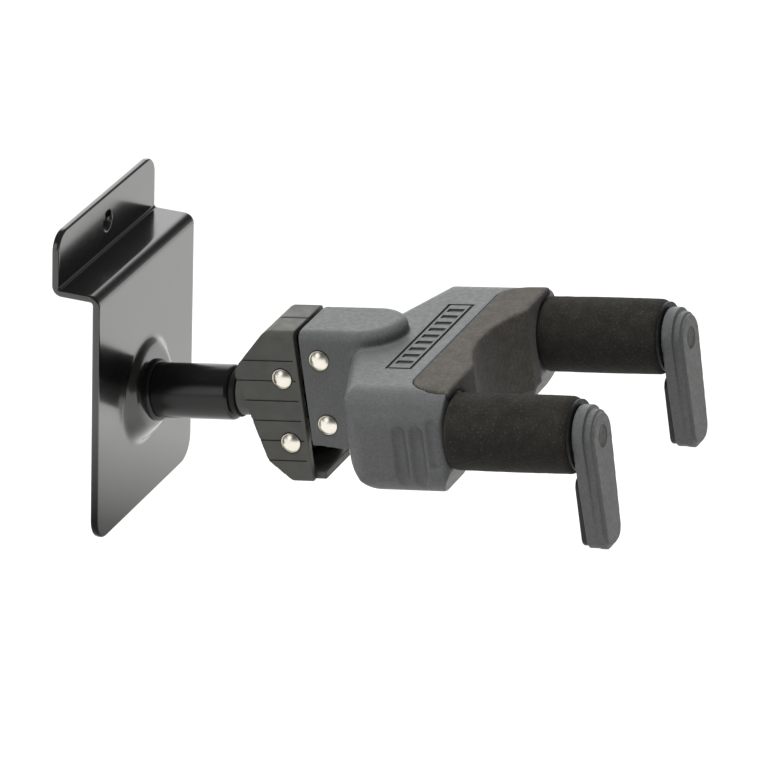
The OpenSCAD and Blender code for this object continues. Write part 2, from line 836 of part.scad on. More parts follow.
module gate_crank() color([0.7, 0.7, 0.68]) on_post() difference() {
    union() {
        translate([arm_x, 0, arm_w]) bar(4.6, crank_v0, crank_v1);
        translate([crank_pin_x, 0, crank_pin_w]) bar(2.2, crank_v0, crank_v1);
        translate([crank_pin_x, 0, crank_pin_w]) bar(crank_pin_r, fork_v0 - 0.6, crank_v0);
        translate([arm_x, 0, arm_w]) rotate([0, -45, 0])
            translate([0, -crank_v1, -2.05]) cube([crank_r, crank_v1 - crank_v0, 4.1]);
    }
    translate([arm_x, 0, arm_w]) bar(shaft_hole_r, crank_v0 - 1, crank_v1 + 1);
}

// gate outline in (x, w) about its pivot
module gate_outline(r, half, length) {
    corner = 4.2;
    circle(r = r);
    polygon([[-r, 0], [r, 0], [half, -length + corner], [-half, -length + corner]]);
    translate([-half + corner, -length]) square([2 * (half - corner), corner + 1]);
    for (x = [-half + corner, half - corner]) translate([x, -length + corner]) circle(r = corner);
}

module gate_lever() color([0.4, 0.41, 0.42]) on_post() translate([arm_x, 0, arm_w])
    difference() {
        union() {
            front_shape(flange_v0, flange_v1) gate_outline(gate_r + 1.3, 6.8, gate_len - 0.3);
            front_shape(flange_v1, lever_v1 - 0.9) gate_outline(gate_r, 6.6, gate_len);
            front_shape(lever_v1 - 0.9, lever_v1) gate_outline(gate_r - 0.9, 5.6, gate_len - 1);
        }
        bar(shaft_hole_r, flange_v0 - 1, shaft_v1 + 0.1);
        bar(plug_r + 0.02, lever_v1 - 1, lever_v1 + 1);
    }

module gate_pad() color([0.05, 0.05, 0.05]) on_post() translate([arm_x, 0, arm_w])
    front_shape(gate_pad_v0, flange_v0 - 0.02) rounded_rect(-5.4, -gate_len + 0.8, 5.4, -11.9, 3.2);

module gate_plug() color([0.28, 0.27, 0.25]) on_post() translate([arm_x, 0, arm_w])
    bar(plug_r, lever_v1 - 0.98, lever_v1 - 0.15);

module left_gate_shaft() mirror([1, 0, 0]) gate_shaft();
module left_gate_crank() mirror([1, 0, 0]) gate_crank();
module left_gate_lever() mirror([1, 0, 0]) gate_lever();
module left_gate_pad() mirror([1, 0, 0]) gate_pad();
module left_gate_plug() mirror([1, 0, 0]) gate_plug();
module right_gate_shaft() gate_shaft();
module right_gate_crank() gate_crank();
module right_gate_lever() gate_lever();
module right_gate_pad() gate_pad();
module right_gate_plug() gate_plug();

// ---- drawing -------------------------------------------------------------

wall_plate();
post_tube();
post_collar();
swivel_bolt();
swivel_bush();
swivel_washer();
head_housing();
head_floor();
rear_rivets();
rear_spacers();
return_spring();
upper_link();
lower_link();
drive_pin();
yoke_housing();
yoke_cover();
cover_screws();
front_rivets();
front_spacers();
guide_posts();
neck_pad();
left_arm_tube();
right_arm_tube();
left_foam();
right_foam();
left_rear_bearing();
right_rear_bearing();
left_front_bearing();
right_front_bearing();
drive_plate();
left_gate_shaft();
left_gate_crank();
left_gate_lever();
left_gate_pad();
left_gate_plug();
right_gate_shaft();
right_gate_crank();
right_gate_lever();
right_gate_pad();
right_gate_plug();
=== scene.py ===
import bpy
import bmesh
import json
import math
from mathutils import Matrix, Vector, noise


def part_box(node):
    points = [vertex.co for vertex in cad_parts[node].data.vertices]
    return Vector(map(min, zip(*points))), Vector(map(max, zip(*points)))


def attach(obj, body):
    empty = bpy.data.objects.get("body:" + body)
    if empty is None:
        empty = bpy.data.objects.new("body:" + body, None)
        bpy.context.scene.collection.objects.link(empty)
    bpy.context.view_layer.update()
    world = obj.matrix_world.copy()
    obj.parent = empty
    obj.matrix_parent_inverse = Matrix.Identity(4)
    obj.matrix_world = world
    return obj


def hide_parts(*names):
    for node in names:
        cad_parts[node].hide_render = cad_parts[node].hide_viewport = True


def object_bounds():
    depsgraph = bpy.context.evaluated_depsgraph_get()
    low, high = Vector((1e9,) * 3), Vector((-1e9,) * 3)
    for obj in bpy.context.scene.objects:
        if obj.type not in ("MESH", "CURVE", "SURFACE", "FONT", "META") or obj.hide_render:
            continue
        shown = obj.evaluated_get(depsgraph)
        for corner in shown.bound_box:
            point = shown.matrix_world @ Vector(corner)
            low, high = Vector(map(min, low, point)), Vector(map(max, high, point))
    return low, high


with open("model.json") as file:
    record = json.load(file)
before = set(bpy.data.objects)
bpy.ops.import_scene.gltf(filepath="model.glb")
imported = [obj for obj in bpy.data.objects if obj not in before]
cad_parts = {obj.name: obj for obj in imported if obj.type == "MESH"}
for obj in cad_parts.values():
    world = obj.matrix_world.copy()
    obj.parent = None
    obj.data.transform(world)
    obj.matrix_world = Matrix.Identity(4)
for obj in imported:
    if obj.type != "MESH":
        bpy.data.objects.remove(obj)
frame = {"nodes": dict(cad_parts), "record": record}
CAD_LOW, CAD_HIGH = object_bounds()
MM = 0.001
nodes = frame["nodes"]
record = frame["record"]
joints = {j["name"]: j for j in record["behaviour"]["joints"]}

# ---- the post's own directions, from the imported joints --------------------
OUT = Vector(joints["yoke_swivel"]["axis"]).normalized()
SIDE = Vector((1, 0, 0))
UP = SIDE.cross(-OUT).normalized()
SWIVEL_V = 28 * MM
POST_ROOT = Vector(joints["yoke_swivel"]["pos_m"]) - OUT * SWIVEL_V
POST = Matrix((
    (SIDE.x, OUT.x, UP.x, POST_ROOT.x),
    (SIDE.y, OUT.y, UP.y, POST_ROOT.y),
    (SIDE.z, OUT.z, UP.z, POST_ROOT.z),
    (0, 0, 0, 1),
))


def at(x, v, w):
    """A point of the post frame, given in millimetres: to the side, outwards, upwards."""
    return POST @ (Vector((x, v, w)) * MM)


# ---- meshes ----------------------------------------------------------------
SHARP = math.radians(35)
AXIS_R = 0.01  # mm, closes the end of a turned piece at its axis
PAST = 1  # mm, how far a cutter runs past the face it cuts


def add_object(name, mesh):
    obj = bpy.data.objects.new(name, mesh)
    bpy.context.scene.collection.objects.link(obj)
    return obj


def new_mesh(name, points, faces):
    mesh = bpy.data.meshes.new(name)
    mesh.from_pydata(points, [], faces)
    bm = bmesh.new()
    bm.from_mesh(mesh)
    bmesh.ops.recalc_face_normals(bm, faces=bm.faces)
    bm.to_mesh(mesh)
    bm.free()
    return add_object(name, mesh)


def from_node(name, node):
    return add_object(name, nodes[node].data.copy())


def bake(obj):
    """Replaces the object's mesh with what its modifiers make of it."""
    graph = bpy.context.evaluated_depsgraph_get()
    mesh = bpy.data.meshes.new_from_object(obj.evaluated_get(graph))
    obj.modifiers.clear()
    obj.data = mesh
    return obj


def shade_smooth(obj, angle=SHARP):
    for p in obj.data.polygons:
        p.use_smooth = True
    obj.data.set_sharp_from_angle(angle=angle)
    return obj


def smoothed(obj, rounds, weight=None):
    """Smooths the mesh; weight(x, v, w) in the post frame's millimetres limits it to one place."""
    m = obj.modifiers.new("soften", "SMOOTH")
    m.factor = 0.5
    m.iterations = rounds
    if weight:
        group = obj.vertex_groups.new(name="soft")
        for v in obj.data.vertices:
            amount = weight(*(v.co / MM))
            if amount > 0:
                group.add([v.index], amount, "REPLACE")
        m.vertex_group = group.name
    bake(obj)
    obj.vertex_groups.clear()
    return obj


def remeshed(obj, voxel, rounds, places=()):
    """Softens every edge with a voxel skin in the post frame, then smooths some places more."""
    obj.data.transform(POST.inverted())
    r = obj.modifiers.new("skin", "REMESH")
    r.mode = "VOXEL"
    r.voxel_size = voxel * MM
    bake(obj)
    smoothed(obj, rounds)
    for more_rounds, weight in places:
        smoothed(obj, more_rounds, weight)
    obj.data.transform(POST)
    return shade_smooth(obj)


def arc(cx, cy, r, start, end, steps=6):
    """Points of an arc, with angles in degrees."""
    angles = [math.radians(start + (end - start) * k / steps) for k in range(steps + 1)]
    return [(cx + r * math.cos(a), cy + r * math.sin(a)) for a in angles]


def turned(place, profile, turns=96, ripple=None):
    """Turns a profile of (along, radius) points; place(along, radius, angle) gives each point."""
    points, faces = [], []
    for along, r in profile:
        for k in range(turns):
            a = 2 * math.pi * k / turns
            points.append(place(along, r + (ripple(along, a) if ripple else 0), a))
    for i in range(len(profile) - 1):
        for k in range(turns):
            n = (k + 1) % turns
            faces.append((i * turns + k, i * turns + n, (i + 1) * turns + n, (i + 1) * turns + k))
    if profile[0] != profile[-1]:
        faces.append(tuple(range(turns)))
        faces.append(tuple(range((len(profile) - 1) * turns, len(profile) * turns)))
    return points, faces


def lathe(name, x, w, profile, ripple=None):
    """A turned piece whose line runs along the post's direction."""
    def place(v, r, a):
        return at(x + r * math.cos(a), v, w + r * math.sin(a))
    obj = new_mesh(name, *turned(place, profile, ripple=ripple))
    return shade_smooth(obj)


def cross_lathe(name, spots, profile):
    """Turned pieces whose lines run across the post frame, one at each (v, w) spot."""
    points, faces = [], []
    for v, w in spots:
        def place(x, r, a):
            return at(x, v + r * math.cos(a), w + r * math.sin(a))
        more, quads = turned(place, profile, turns=48)
        faces += [tuple(len(points) + k for k in quad) for quad in quads]
        points += more
    return shade_smooth(new_mesh(name, points, faces))


def boxes(name, spans):
    """Closed boxes in the post frame, each from one (x, v, w) corner to the opposite one."""
    sides = ((0, 1, 3, 2), (4, 6, 7, 5), (0, 4, 5, 1), (2, 3, 7, 6), (0, 2, 6, 4), (1, 5, 7, 3))
    points, faces = [], []
    for a, b in spans:
        first = len(points)
        points += [at(x, v, w) for w in (a[2], b[2]) for v in (a[1], b[1]) for x in (a[0], b[0])]
        faces += [tuple(first + k for k in quad) for quad in sides]
    return new_mesh(name, points, faces)


def cut(obj, tool):
    m = obj.modifiers.new("cut", "BOOLEAN")
    m.operation = "DIFFERENCE"
    m.solver = "EXACT"
    m.object = tool
    bake(obj)
    bpy.data.objects.remove(tool)
    return shade_smooth(obj)


# ---- materials -------------------------------------------------------------
class Material:
    """A Principled material; noise varies its colour, its roughness and its fine relief."""

    def __init__(self, name, base, rough, metallic=0.0, spec=0.5, coat_rough=0.1, sheen=0.0):
        self.mat = bpy.data.materials.new(name)
        self.mat.use_nodes = True
        self.tree = self.mat.node_tree
        self.tree.nodes.clear()
        self.out = self.add("ShaderNodeOutputMaterial")
        self.shader = self.add("ShaderNodeBsdfPrincipled")
        self.tree.links.new(self.shader.outputs[0], self.out.inputs["Surface"])
        self.coords = self.add("ShaderNodeTexCoord").outputs["Object"]
        self.base, self.normal = base, None
        values = (("Metallic", metallic), ("Specular IOR Level", spec), ("Coat Roughness", coat_rough),
                  ("Sheen Weight", sheen), ("Roughness", rough))
        for socket, value in values:
            self.shader.inputs[socket].default_value = value
        self.shader.inputs["Base Color"].default_value = (*base, 1)

    def add(self, kind, **values):
        node = self.tree.nodes.new(kind)
        for key, value in values.items():
            setattr(node, key, value)
        return node

    def link(self, a, b):
        self.tree.links.new(a, b)

    def noise(self, per_metre, detail=3.0):
        node = self.add("ShaderNodeTexNoise")
        node.inputs["Scale"].default_value = per_metre
        node.inputs["Detail"].default_value = detail
        self.link(self.coords, node.inputs["Vector"])
        return node.outputs[0]

    def span(self, value, low, high, start=0.35, end=0.65):
        node = self.add("ShaderNodeMapRange")
        node.inputs["From Min"].default_value = start
        node.inputs["From Max"].default_value = end
        node.inputs["To Min"].default_value = low
        node.inputs["To Max"].default_value = high
        self.link(value, node.inputs["Value"])
        return node.outputs[0]

    def colour(self, other, per_metre, amount=1.0, start=0.35, end=0.65, detail=3.0):
        """Mixes the base colour with another one by noise; later calls mix over earlier ones."""
        mix = self.add("ShaderNodeMix", data_type="RGBA")
        previous = self.shader.inputs["Base Color"]
        if previous.is_linked:
            self.link(previous.links[0].from_socket, mix.inputs[6])
        else:
            mix.inputs[6].default_value = (*self.base, 1)
        mix.inputs[7].default_value = (*other, 1)
        self.link(self.span(self.noise(per_metre, detail), 0, amount, start, end), mix.inputs[0])
        self.link(mix.outputs[2], self.shader.inputs["Base Color"])
        return self

    def roughness(self, low, high, per_metre, detail=3.0):
        self.link(self.span(self.noise(per_metre, detail), low, high), self.shader.inputs["Roughness"])
        return self

    def fading(self, socket, low, high, line, start, end):
        """Lets a value go from low to high between two distances, in metres, along a line."""
        along = self.add("ShaderNodeVectorMath", operation="DOT_PRODUCT")
        along.inputs[1].default_value = line
        self.link(self.coords, along.inputs[0])
        self.link(self.span(along.outputs["Value"], low, high, start, end), self.shader.inputs[socket])
        return self

    def relief(self, per_metre, height, detail=2.0):
        """Adds fine relief of a height in millimetres."""
        bump = self.add("ShaderNodeBump")
        bump.inputs["Distance"].default_value = height * MM
        self.link(self.noise(per_metre, detail), bump.inputs["Height"])
        if self.normal is not None:
            self.link(self.normal, bump.inputs["Normal"])
        self.normal = bump.outputs[0]
        self.link(self.normal, self.shader.inputs["Normal"])
        return self


materials = {
    "black_paint": Material("black_paint", (0.0035, 0.0033, 0.0032), 0.22, coat_rough=0.14)
    .colour((0.005, 0.005, 0.0045), 45).roughness(0.2, 0.25, 60).relief(260, 0.002, 1.0)
    # painted shade: the gloss and the coat fade out towards the plate's lower near corner, standing in
    # for a darker reflection there
    .fading("Specular IOR Level", 0.0, 0.5, (0.5, 0, 1), -0.034, 0.012)
    .fading("Coat Weight", 0.0, 1.0, (0.5, 0, 1), -0.022, 0.012),
    "black_gloss": Material("black_gloss", (0.002, 0.002, 0.002), 0.2, spec=0.4)
    .colour((0.004, 0.004, 0.004), 45).roughness(0.18, 0.24, 60).relief(260, 0.001, 1.0),
    "dark_paint": Material("dark_paint", (0.034, 0.033, 0.0285), 0.48, spec=0.5)
    .colour((0.042, 0.041, 0.0355), 130).roughness(0.42, 0.54, 300).relief(2600, 0.02),
    "grey_plastic": Material("grey_plastic", (0.049, 0.051, 0.0505), 0.48, spec=0.5)
    .colour((0.072, 0.074, 0.0735), 1500, 0.8, detail=2).colour((0.041, 0.042, 0.0415), 70, 0.4)
    .roughness(0.42, 0.54, 700).relief(2600, 0.05),
    "dark_plastic": Material("dark_plastic", (0.019, 0.0185, 0.016), 0.55, spec=0.4)
    .colour((0.028, 0.027, 0.024), 700).roughness(0.46, 0.6, 500).relief(3000, 0.04),
    "black_nylon": Material("black_nylon", (0.004, 0.004, 0.004), 0.5, spec=0.2)
    .colour((0.007, 0.007, 0.007), 300).roughness(0.44, 0.56, 400).relief(2500, 0.02),
    "white_nylon": Material("white_nylon", (0.62, 0.61, 0.56), 0.45)
    .colour((0.55, 0.54, 0.48), 200).roughness(0.4, 0.52, 300).relief(2000, 0.02),
    "soft_pad": Material("soft_pad", (0.041, 0.0375, 0.0325), 0.85, spec=0.25, sheen=0.05)
    .colour((0.067, 0.0615, 0.053), 1300, detail=4).colour((0.031, 0.028, 0.024), 220, 0.5)
    .roughness(0.78, 0.92, 900).relief(2200, 0.16, 3.0),
    "foam": Material("foam", (0.0125, 0.0113, 0.0093), 0.92, spec=0.2, sheen=0.04)
    .colour((0.021, 0.0195, 0.017), 1900, detail=4, start=0.45, end=0.7)
    .colour((0.008, 0.0073, 0.006), 260, 0.6)
    .colour((0.06, 0.057, 0.052), 2600, 0.8, start=0.68, end=0.74, detail=1)
    .roughness(0.86, 0.98, 800).relief(1500, 0.2, 3.0).relief(4200, 0.07),
    "black_rubber": Material("black_rubber", (0.006, 0.006, 0.006), 0.5, spec=0.35)
    .colour((0.01, 0.01, 0.01), 300).roughness(0.42, 0.56, 500).relief(2400, 0.02),
    "nickel": Material("nickel", (0.82, 0.78, 0.7), 0.24, metallic=1.0)
    .colour((0.76, 0.725, 0.65), 150).roughness(0.22, 0.27, 300).relief(1500, 0.0006, 1.0),
    "zinc_steel": Material("zinc_steel", (0.5, 0.5, 0.49), 0.35, metallic=1.0)
    .colour((0.4, 0.4, 0.4), 300).roughness(0.28, 0.45, 500).relief(1500, 0.01),
    "black_screw": Material("black_screw", (0.02, 0.02, 0.02), 0.35, metallic=0.6)
    .colour((0.035, 0.035, 0.033), 400).roughness(0.3, 0.45, 500).relief(2000, 0.02),
}
SLOTS = {s["node"]: s["material_slot"] for s in record["subparts"]}


def paint(obj, slot):
    obj.data.materials.clear()
    obj.data.materials.append(materials[slot].mat)
    return obj


def piece(obj, body, node):
    """Gives a piece its body and its slot, and hides the CAD node it stands for."""
    slot = SLOTS[node]
    paint(obj, slot)
    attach(obj, body)
    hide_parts(node)
    return obj


for node_name, node_object in nodes.items():
    paint(node_object, SLOTS[node_name])

# ---- the bent plate --------------------------------------------------------
# a sheet swept along its bent side outline, with a pressed dome and rounded rims, in millimetres
PLATE_LOW, PLATE_HIGH = (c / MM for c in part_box("wall_plate"))
MOUNTS = {m["name"]: m for m in record["mounts"]}
HOLE_Z = MOUNTS["lip_screw_hole"]["pos_m"][2] / MM
HOLE_R = MOUNTS["lip_screw_hole"]["dims"]["r_mm"]
SINK_R = 3.3
SHEET = 2.3
BEND_IN = 0.9
BEND_OUT = BEND_IN + SHEET
LOW_CORNER, LIP_CORNER = 7.6, 6.0
RIM = 0.7
HALF_W = PLATE_HIGH.x
POST_Z = POST_ROOT.z / MM
FOLD_Z = MOUNTS["slat_hook"]["pos_m"][2] / MM
DOME_BALL_R, DOME_BALL_BACK, DOME_FLAT, DOME_FOOT = 21.4, 13.7, 4.0, 20.0
DOME_TOP_BLEND, DOME_FOOT_BLEND = 1.2, 1.4
FACE_STEPS, OUTER_BEND_STEPS, LEDGE_STEPS, INNER_BEND_STEPS, LIP_STEPS = 140, 10, 12, 8, 30
COLUMNS = 130
CORNER_STEP = 9  # degrees
RIM_TURNS = (22, 45, 68, 90)  # degrees


def smooth_min(a, b, k):
    """The lower of two values, rounded off where they come closer than k."""
    h = max(k - abs(a - b), 0) / k
    return min(a, b) - h * h * k / 4


def dome_height(x, z):
    """How far the pressed dome stands in front of the flat sheet."""
    up = z - POST_Z
    r2 = x * x + up * up
    if r2 > DOME_FOOT ** 2:
        return 0
    ball = math.sqrt(DOME_BALL_R ** 2 - r2) - DOME_BALL_BACK
    flat = (DOME_FLAT - up * OUT.z) / -OUT.y
    return -smooth_min(-smooth_min(ball, flat, DOME_TOP_BLEND), 0, DOME_FOOT_BLEND)


def side_line():
    """The sheet's front line from the bottom up: (y, z, outward y, outward z, length so far)."""
    lip_y = PLATE_HIGH.y - SHEET
    bend_a = (-SHEET + BEND_OUT, FOLD_Z - BEND_OUT)
    bend_b = (lip_y - BEND_IN, FOLD_Z + BEND_IN)
    rise = bend_a[1] - PLATE_LOW.z
    line = [(-SHEET, PLATE_LOW.z + k * rise / FACE_STEPS, -1, 0) for k in range(FACE_STEPS + 1)]
    for y, z in arc(*bend_a, BEND_OUT, 180, 90, steps=OUTER_BEND_STEPS)[1:]:
        line.append((y, z, (y - bend_a[0]) / BEND_OUT, (z - bend_a[1]) / BEND_OUT))
    start_y = line[-1][0]
    depth = bend_b[0] - start_y
    line += [(start_y + k * depth / LEDGE_STEPS, FOLD_Z, 0, 1) for k in range(1, LEDGE_STEPS + 1)]
    for y, z in arc(*bend_b, BEND_IN, -90, 0, steps=INNER_BEND_STEPS)[1:]:
        line.append((y, z, -(y - bend_b[0]) / BEND_IN, -(z - bend_b[1]) / BEND_IN))
    start_z = line[-1][1]
    rise = PLATE_HIGH.z - start_z
    line += [(lip_y, start_z + k * rise / LIP_STEPS, -1, 0) for k in range(1, LIP_STEPS + 1)]
    out, total = [], 0
    for i, p in enumerate(line):
        if i:
            total += math.hypot(p[0] - line[i - 1][0], p[1] - line[i - 1][1])
        out.append((*p, total))
    return out


LINE = side_line()
LENGTH = LINE[-1][4]


def on_line(s):
    """The side line at a length from the bottom, carried straight on past either end."""
    i = 0
    while i < len(LINE) - 2 and LINE[i + 1][4] < s:
        i += 1
    a, b = LINE[i], LINE[i + 1]
    t = (s - a[4]) / (b[4] - a[4])
    return [a[k] + (b[k] - a[k]) * t for k in range(4)]


def sheet_point(x, s, depth):
    """A point of the sheet: across, along the side line, and so deep under its front skin."""
    y, z, ny, nz = on_line(s)
    return Vector((x, y - ny * depth - dome_height(x, z), z - nz * depth)) * MM


def corner_rows(radius, end, way, angles):
    """Rows of the sheet across two rounded corners: (length along, half width, outward)."""
    rows = []
    for a in angles:
        sine, cosine = math.sin(math.radians(a)), math.cos(math.radians(a))
        s = end - way * radius + way * (radius - RIM) * cosine
        rows.append((s, HALF_W - radius + (radius - RIM) * sine, (sine, way * cosine)))
    return rows


def bent_plate():
    steps = sorted({round(p[4], 4) for p in LINE if LOW_CORNER < p[4] < LENGTH - LIP_CORNER})
    rows = corner_rows(LOW_CORNER, 0, -1, range(0, 90, CORNER_STEP))
    rows += [(s, HALF_W - RIM, (1, 0)) for s in steps]
    rows += corner_rows(LIP_CORNER, LENGTH, 1, range(90 - CORNER_STEP, -1, -CORNER_STEP))
    points, faces = [], []

    def across(half, c):
        return half * (2 * c / COLUMNS - 1)

    def grid(depth):
        first = len(points)
        for s, half, _ in rows:
            points.extend(sheet_point(across(half, c), s, depth) for c in range(COLUMNS + 1))
        for r in range(len(rows) - 1):
            for c in range(COLUMNS):
                a = first + r * (COLUMNS + 1) + c
                faces.append((a, a + 1, a + COLUMNS + 2, a + COLUMNS + 1))
        return first

    front, back = grid(0), grid(SHEET)
    last = len(rows) - 1
    rim = [(0, c, (0, -1)) for c in range(COLUMNS)]
    rim += [(r, COLUMNS, rows[r][2]) for r in range(last)]
    rim += [(last, c, (0, 1)) for c in range(COLUMNS, 0, -1)]
    rim += [(r, 0, (-rows[r][2][0], rows[r][2][1])) for r in range(last, 0, -1)]
    rings = [[front + r * (COLUMNS + 1) + c for r, c, _ in rim]]
    turns = [math.radians(a) for a in RIM_TURNS]
    levels = [(RIM * math.sin(a), RIM * (1 - math.cos(a))) for a in turns]
    levels += [(out, SHEET - deep) for out, deep in reversed(levels)]
    for out, depth in levels:
        ring = []
        for r, c, (nx, ns) in rim:
            s, half, _ = rows[r]
            ring.append(len(points))
            points.append(sheet_point(across(half, c) + nx * out, s + ns * out, depth))
        rings.append(ring)
    rings.append([back + r * (COLUMNS + 1) + c for r, c, _ in rim])
    for a, b in zip(rings, rings[1:]):
        faces.extend((a[k], a[(k + 1) % len(a)], b[(k + 1) % len(a)], b[k]) for k in range(len(a)))
    return new_mesh("bent_plate", points, faces)


def countersink():
    """The cutter of the lip's hole: a cone with its edge broken, then the straight hole."""
    y0 = PLATE_HIGH.y - SHEET
    profile = [(y0 - PAST, SINK_R + 0.7), (y0 - 0.05, SINK_R + 0.2), (y0 + 0.15, SINK_R - 0.15),
               (y0 + 1, HOLE_R + 0.1), (y0 + 1.2, HOLE_R), (y0 + SHEET + PAST, HOLE_R)]

    def place(y, r, a):
        return Vector((r * math.cos(a), y, HOLE_Z + r * math.sin(a))) * MM
    return new_mesh("countersink", *turned(place, profile, turns=64))


piece(cut(bent_plate(), countersink()), "wall_bracket", "wall_plate")

# ---- turned pieces of the post ---------------------------------------------
# each profile is a list of (outwards along the post, radius) points in millimetres
POST_R, POST_START, POST_END, POST_EDGE = 8.5, 0.7, 31.0, 1.4
BORE_R, BORE_START = 4.06, 9.0
post_profile = [(POST_START, AXIS_R), (POST_START, POST_R), (POST_END - POST_EDGE, POST_R)]
post_profile += arc(POST_END - POST_EDGE, POST_R - POST_EDGE, POST_EDGE, 90, 0)[1:]
post_profile += [(POST_END, BORE_R), (BORE_START, BORE_R), (BORE_START, AXIS_R)]
piece(lathe("post", 0, 0, post_profile), "wall_bracket", "post_tube")

COLLAR_BORE, COLLAR_R, COLLAR_START, COLLAR_END, COLLAR_EDGE = POST_R + 0.02, 9.6, 4.0, 5.4, 0.7
collar_profile = [(COLLAR_START, COLLAR_BORE), (COLLAR_START, COLLAR_R)]
collar_profile += arc(COLLAR_END - COLLAR_EDGE, COLLAR_R - COLLAR_EDGE, COLLAR_EDGE, 90, 0)
collar_profile += [(COLLAR_END, COLLAR_BORE), (COLLAR_START, COLLAR_BORE)]
piece(lathe("post_foot_ring", 0, 0, collar_profile), "wall_bracket", "post_collar")

BUSH_R, BUSH_END, BUSH_EDGE = 7.5, 32.8, 0.4
bush_profile = [(POST_END, BORE_R), (POST_END, BUSH_R)]
bush_profile += arc(BUSH_END - BUSH_EDGE, BUSH_R - BUSH_EDGE, BUSH_EDGE, 90, 0)
bush_profile += [(BUSH_END, BORE_R), (POST_END, BORE_R)]
piece(lathe("bush_ring", 0, 0, bush_profile), "wall_bracket", "swivel_bush")

# ---- the head and its rivets -----------------------------------------------
CHEEK_X, HEAD_TOP = 12.0, 24.9
GROOVES, GROOVE_W, GROOVE_STEP, GROOVE_T = 6, -17.1, 6.48, 0.45
GROOVE_START, GROOVE_END, TOP_GROOVE_START, TOP_GROOVE_END = 30, 56.4, 48, 59
FINE_VOXEL = 0.25
head = remeshed(from_node("head_shell", "head_housing"), FINE_VOXEL, rounds=4)
grooves = []
for k in range(GROOVES):
    w = GROOVE_W + GROOVE_STEP * k
    for side in (-1, 1):
        inner = (side * (CHEEK_X - GROOVE_T), GROOVE_START, w)
        outer = (side * (CHEEK_X + PAST), GROOVE_END, w + GROOVE_T)
        grooves.append((inner, outer))
inner = (-GROOVE_T / 2, TOP_GROOVE_START, HEAD_TOP - GROOVE_T)
outer = (GROOVE_T / 2, TOP_GROOVE_END, HEAD_TOP + PAST)
grooves.append((inner, outer))
piece(cut(head, boxes("grooves", grooves)), "swivel_head", "head_housing")
floor_strip = remeshed(from_node("floor_strip", "head_floor"), FINE_VOXEL, rounds=3)
piece(floor_strip, "swivel_head", "head_floor")

RIVET_R, RIVET_HEAD_R, RIVET_TOP, RIVET_BALL = 2.0, 3.1, 1.0, 4.9
RIVET_SUNK, RIVET_EDGE, RIVET_STEPS = 0.5, 0.1, 12


def rivet_profile():
    """Both domes and the shank of a rivet, from one side to the other."""
    seat = CHEEK_X - RIVET_SUNK
    inner_r = RIVET_HEAD_R - RIVET_EDGE
    ball_x = CHEEK_X + RIVET_TOP - RIVET_BALL
    dome = [(CHEEK_X - RIVET_EDGE + 0.3, RIVET_HEAD_R - 0.03)]
    for k in range(1, RIVET_STEPS + 1):
        r = inner_r * math.cos(math.pi / 2 * k / RIVET_STEPS)
        dome.append((ball_x + math.sqrt(RIVET_BALL ** 2 - r * r), max(r, AXIS_R)))
    half = [(seat, RIVET_R), (seat, inner_r), (seat + RIVET_EDGE, RIVET_HEAD_R)] + dome
    return [(-x, r) for x, r in reversed(half)] + half


def rivet_spots(joint_names):
    """The (v, w) place of each joint's rivet in the post frame, in millimetres."""
    spots = []
    for name in joint_names:
        p = POST.inverted() @ Vector(joints[name]["pos_m"])
        spots.append((p.y / MM, p.z / MM))
    return spots


REAR_SPOTS = rivet_spots(["link_swing", "lower_link_swing"])
(UPPER_FRONT,) = rivet_spots(["yoke_level"])
LINK_DROP = REAR_SPOTS[0][1] - REAR_SPOTS[1][1]
FRONT_SPOTS = [UPPER_FRONT, (UPPER_FRONT[0], UPPER_FRONT[1] - LINK_DROP)]
piece(cross_lathe("rear_rivet_domes", REAR_SPOTS, rivet_profile()), "swivel_head", "rear_rivets")
piece(cross_lathe("front_rivet_domes", FRONT_SPOTS, rivet_profile()), "yoke", "front_rivets")

# ---- the yoke --------------------------------------------------------------
YOKE_TOP, YOKE_VOXEL = 20.0, 0.4
BLOCK_X, BLOCK_V, BLOCK_REACH = 13, 76.5, 6
TOP_KEPT, TOP_FADE = 1, 2


def near(value, target, reach):
    """1 at the target, falling smoothly to 0 at the reach."""
    t = min(abs(value - target) / reach, 1)
    return 1 - t * t * (3 - 2 * t)


def block_corner(x, v, w):
    """Picks the inner corner between the block and a shoulder, below the flat top."""
    below_top = min(max((YOKE_TOP - TOP_KEPT - w) / TOP_FADE, 0), 1)
    return near(abs(x), BLOCK_X, BLOCK_REACH) * near(v, BLOCK_V, BLOCK_REACH) * below_top


yoke = from_node("yoke_shell", "yoke_housing")
remeshed(yoke, YOKE_VOXEL, rounds=5, places=[(60, block_corner)])

# a plain border with plain bars, pressed into the flat top
BORDER_X, BORDER_V0, BORDER_V1, BORDER_T, BORDER_DEEP = 26.0, 92.6, 101.2, 1.0, 0.7
BARS, BAR_PITCH, BAR_HALF, BAR_GAP = 9, 5.2, 1.3, 1.7
deep, above = YOKE_TOP - BORDER_DEEP, YOKE_TOP + PAST
long_lines = []
for v in (BORDER_V0, BORDER_V1 - BORDER_T):
    long_lines.append(((-BORDER_X, v, deep), (BORDER_X, v + BORDER_T, above)))
for k in range(BARS):
    x = (k - (BARS - 1) / 2) * BAR_PITCH
    low_end = (x - BAR_HALF, BORDER_V0 + BAR_GAP, deep)
    high_end = (x + BAR_HALF, BORDER_V1 - BAR_GAP, above)
    long_lines.append((low_end, high_end))
short_lines = []
for x in (-BORDER_X, BORDER_X - BORDER_T):
    short_lines.append(((x, BORDER_V0, deep), (x + BORDER_T, BORDER_V1, above)))
for spans in (long_lines, short_lines):
    cut(yoke, boxes("lines", spans))
piece(yoke, "yoke", "yoke_housing")

# ---- soft pieces -----------------------------------------------------------
PAD_VOXEL = 0.5
pad = remeshed(from_node("neck_saddle", "neck_pad"), PAD_VOXEL, rounds=8)
piece(pad, "yoke", "neck_pad")

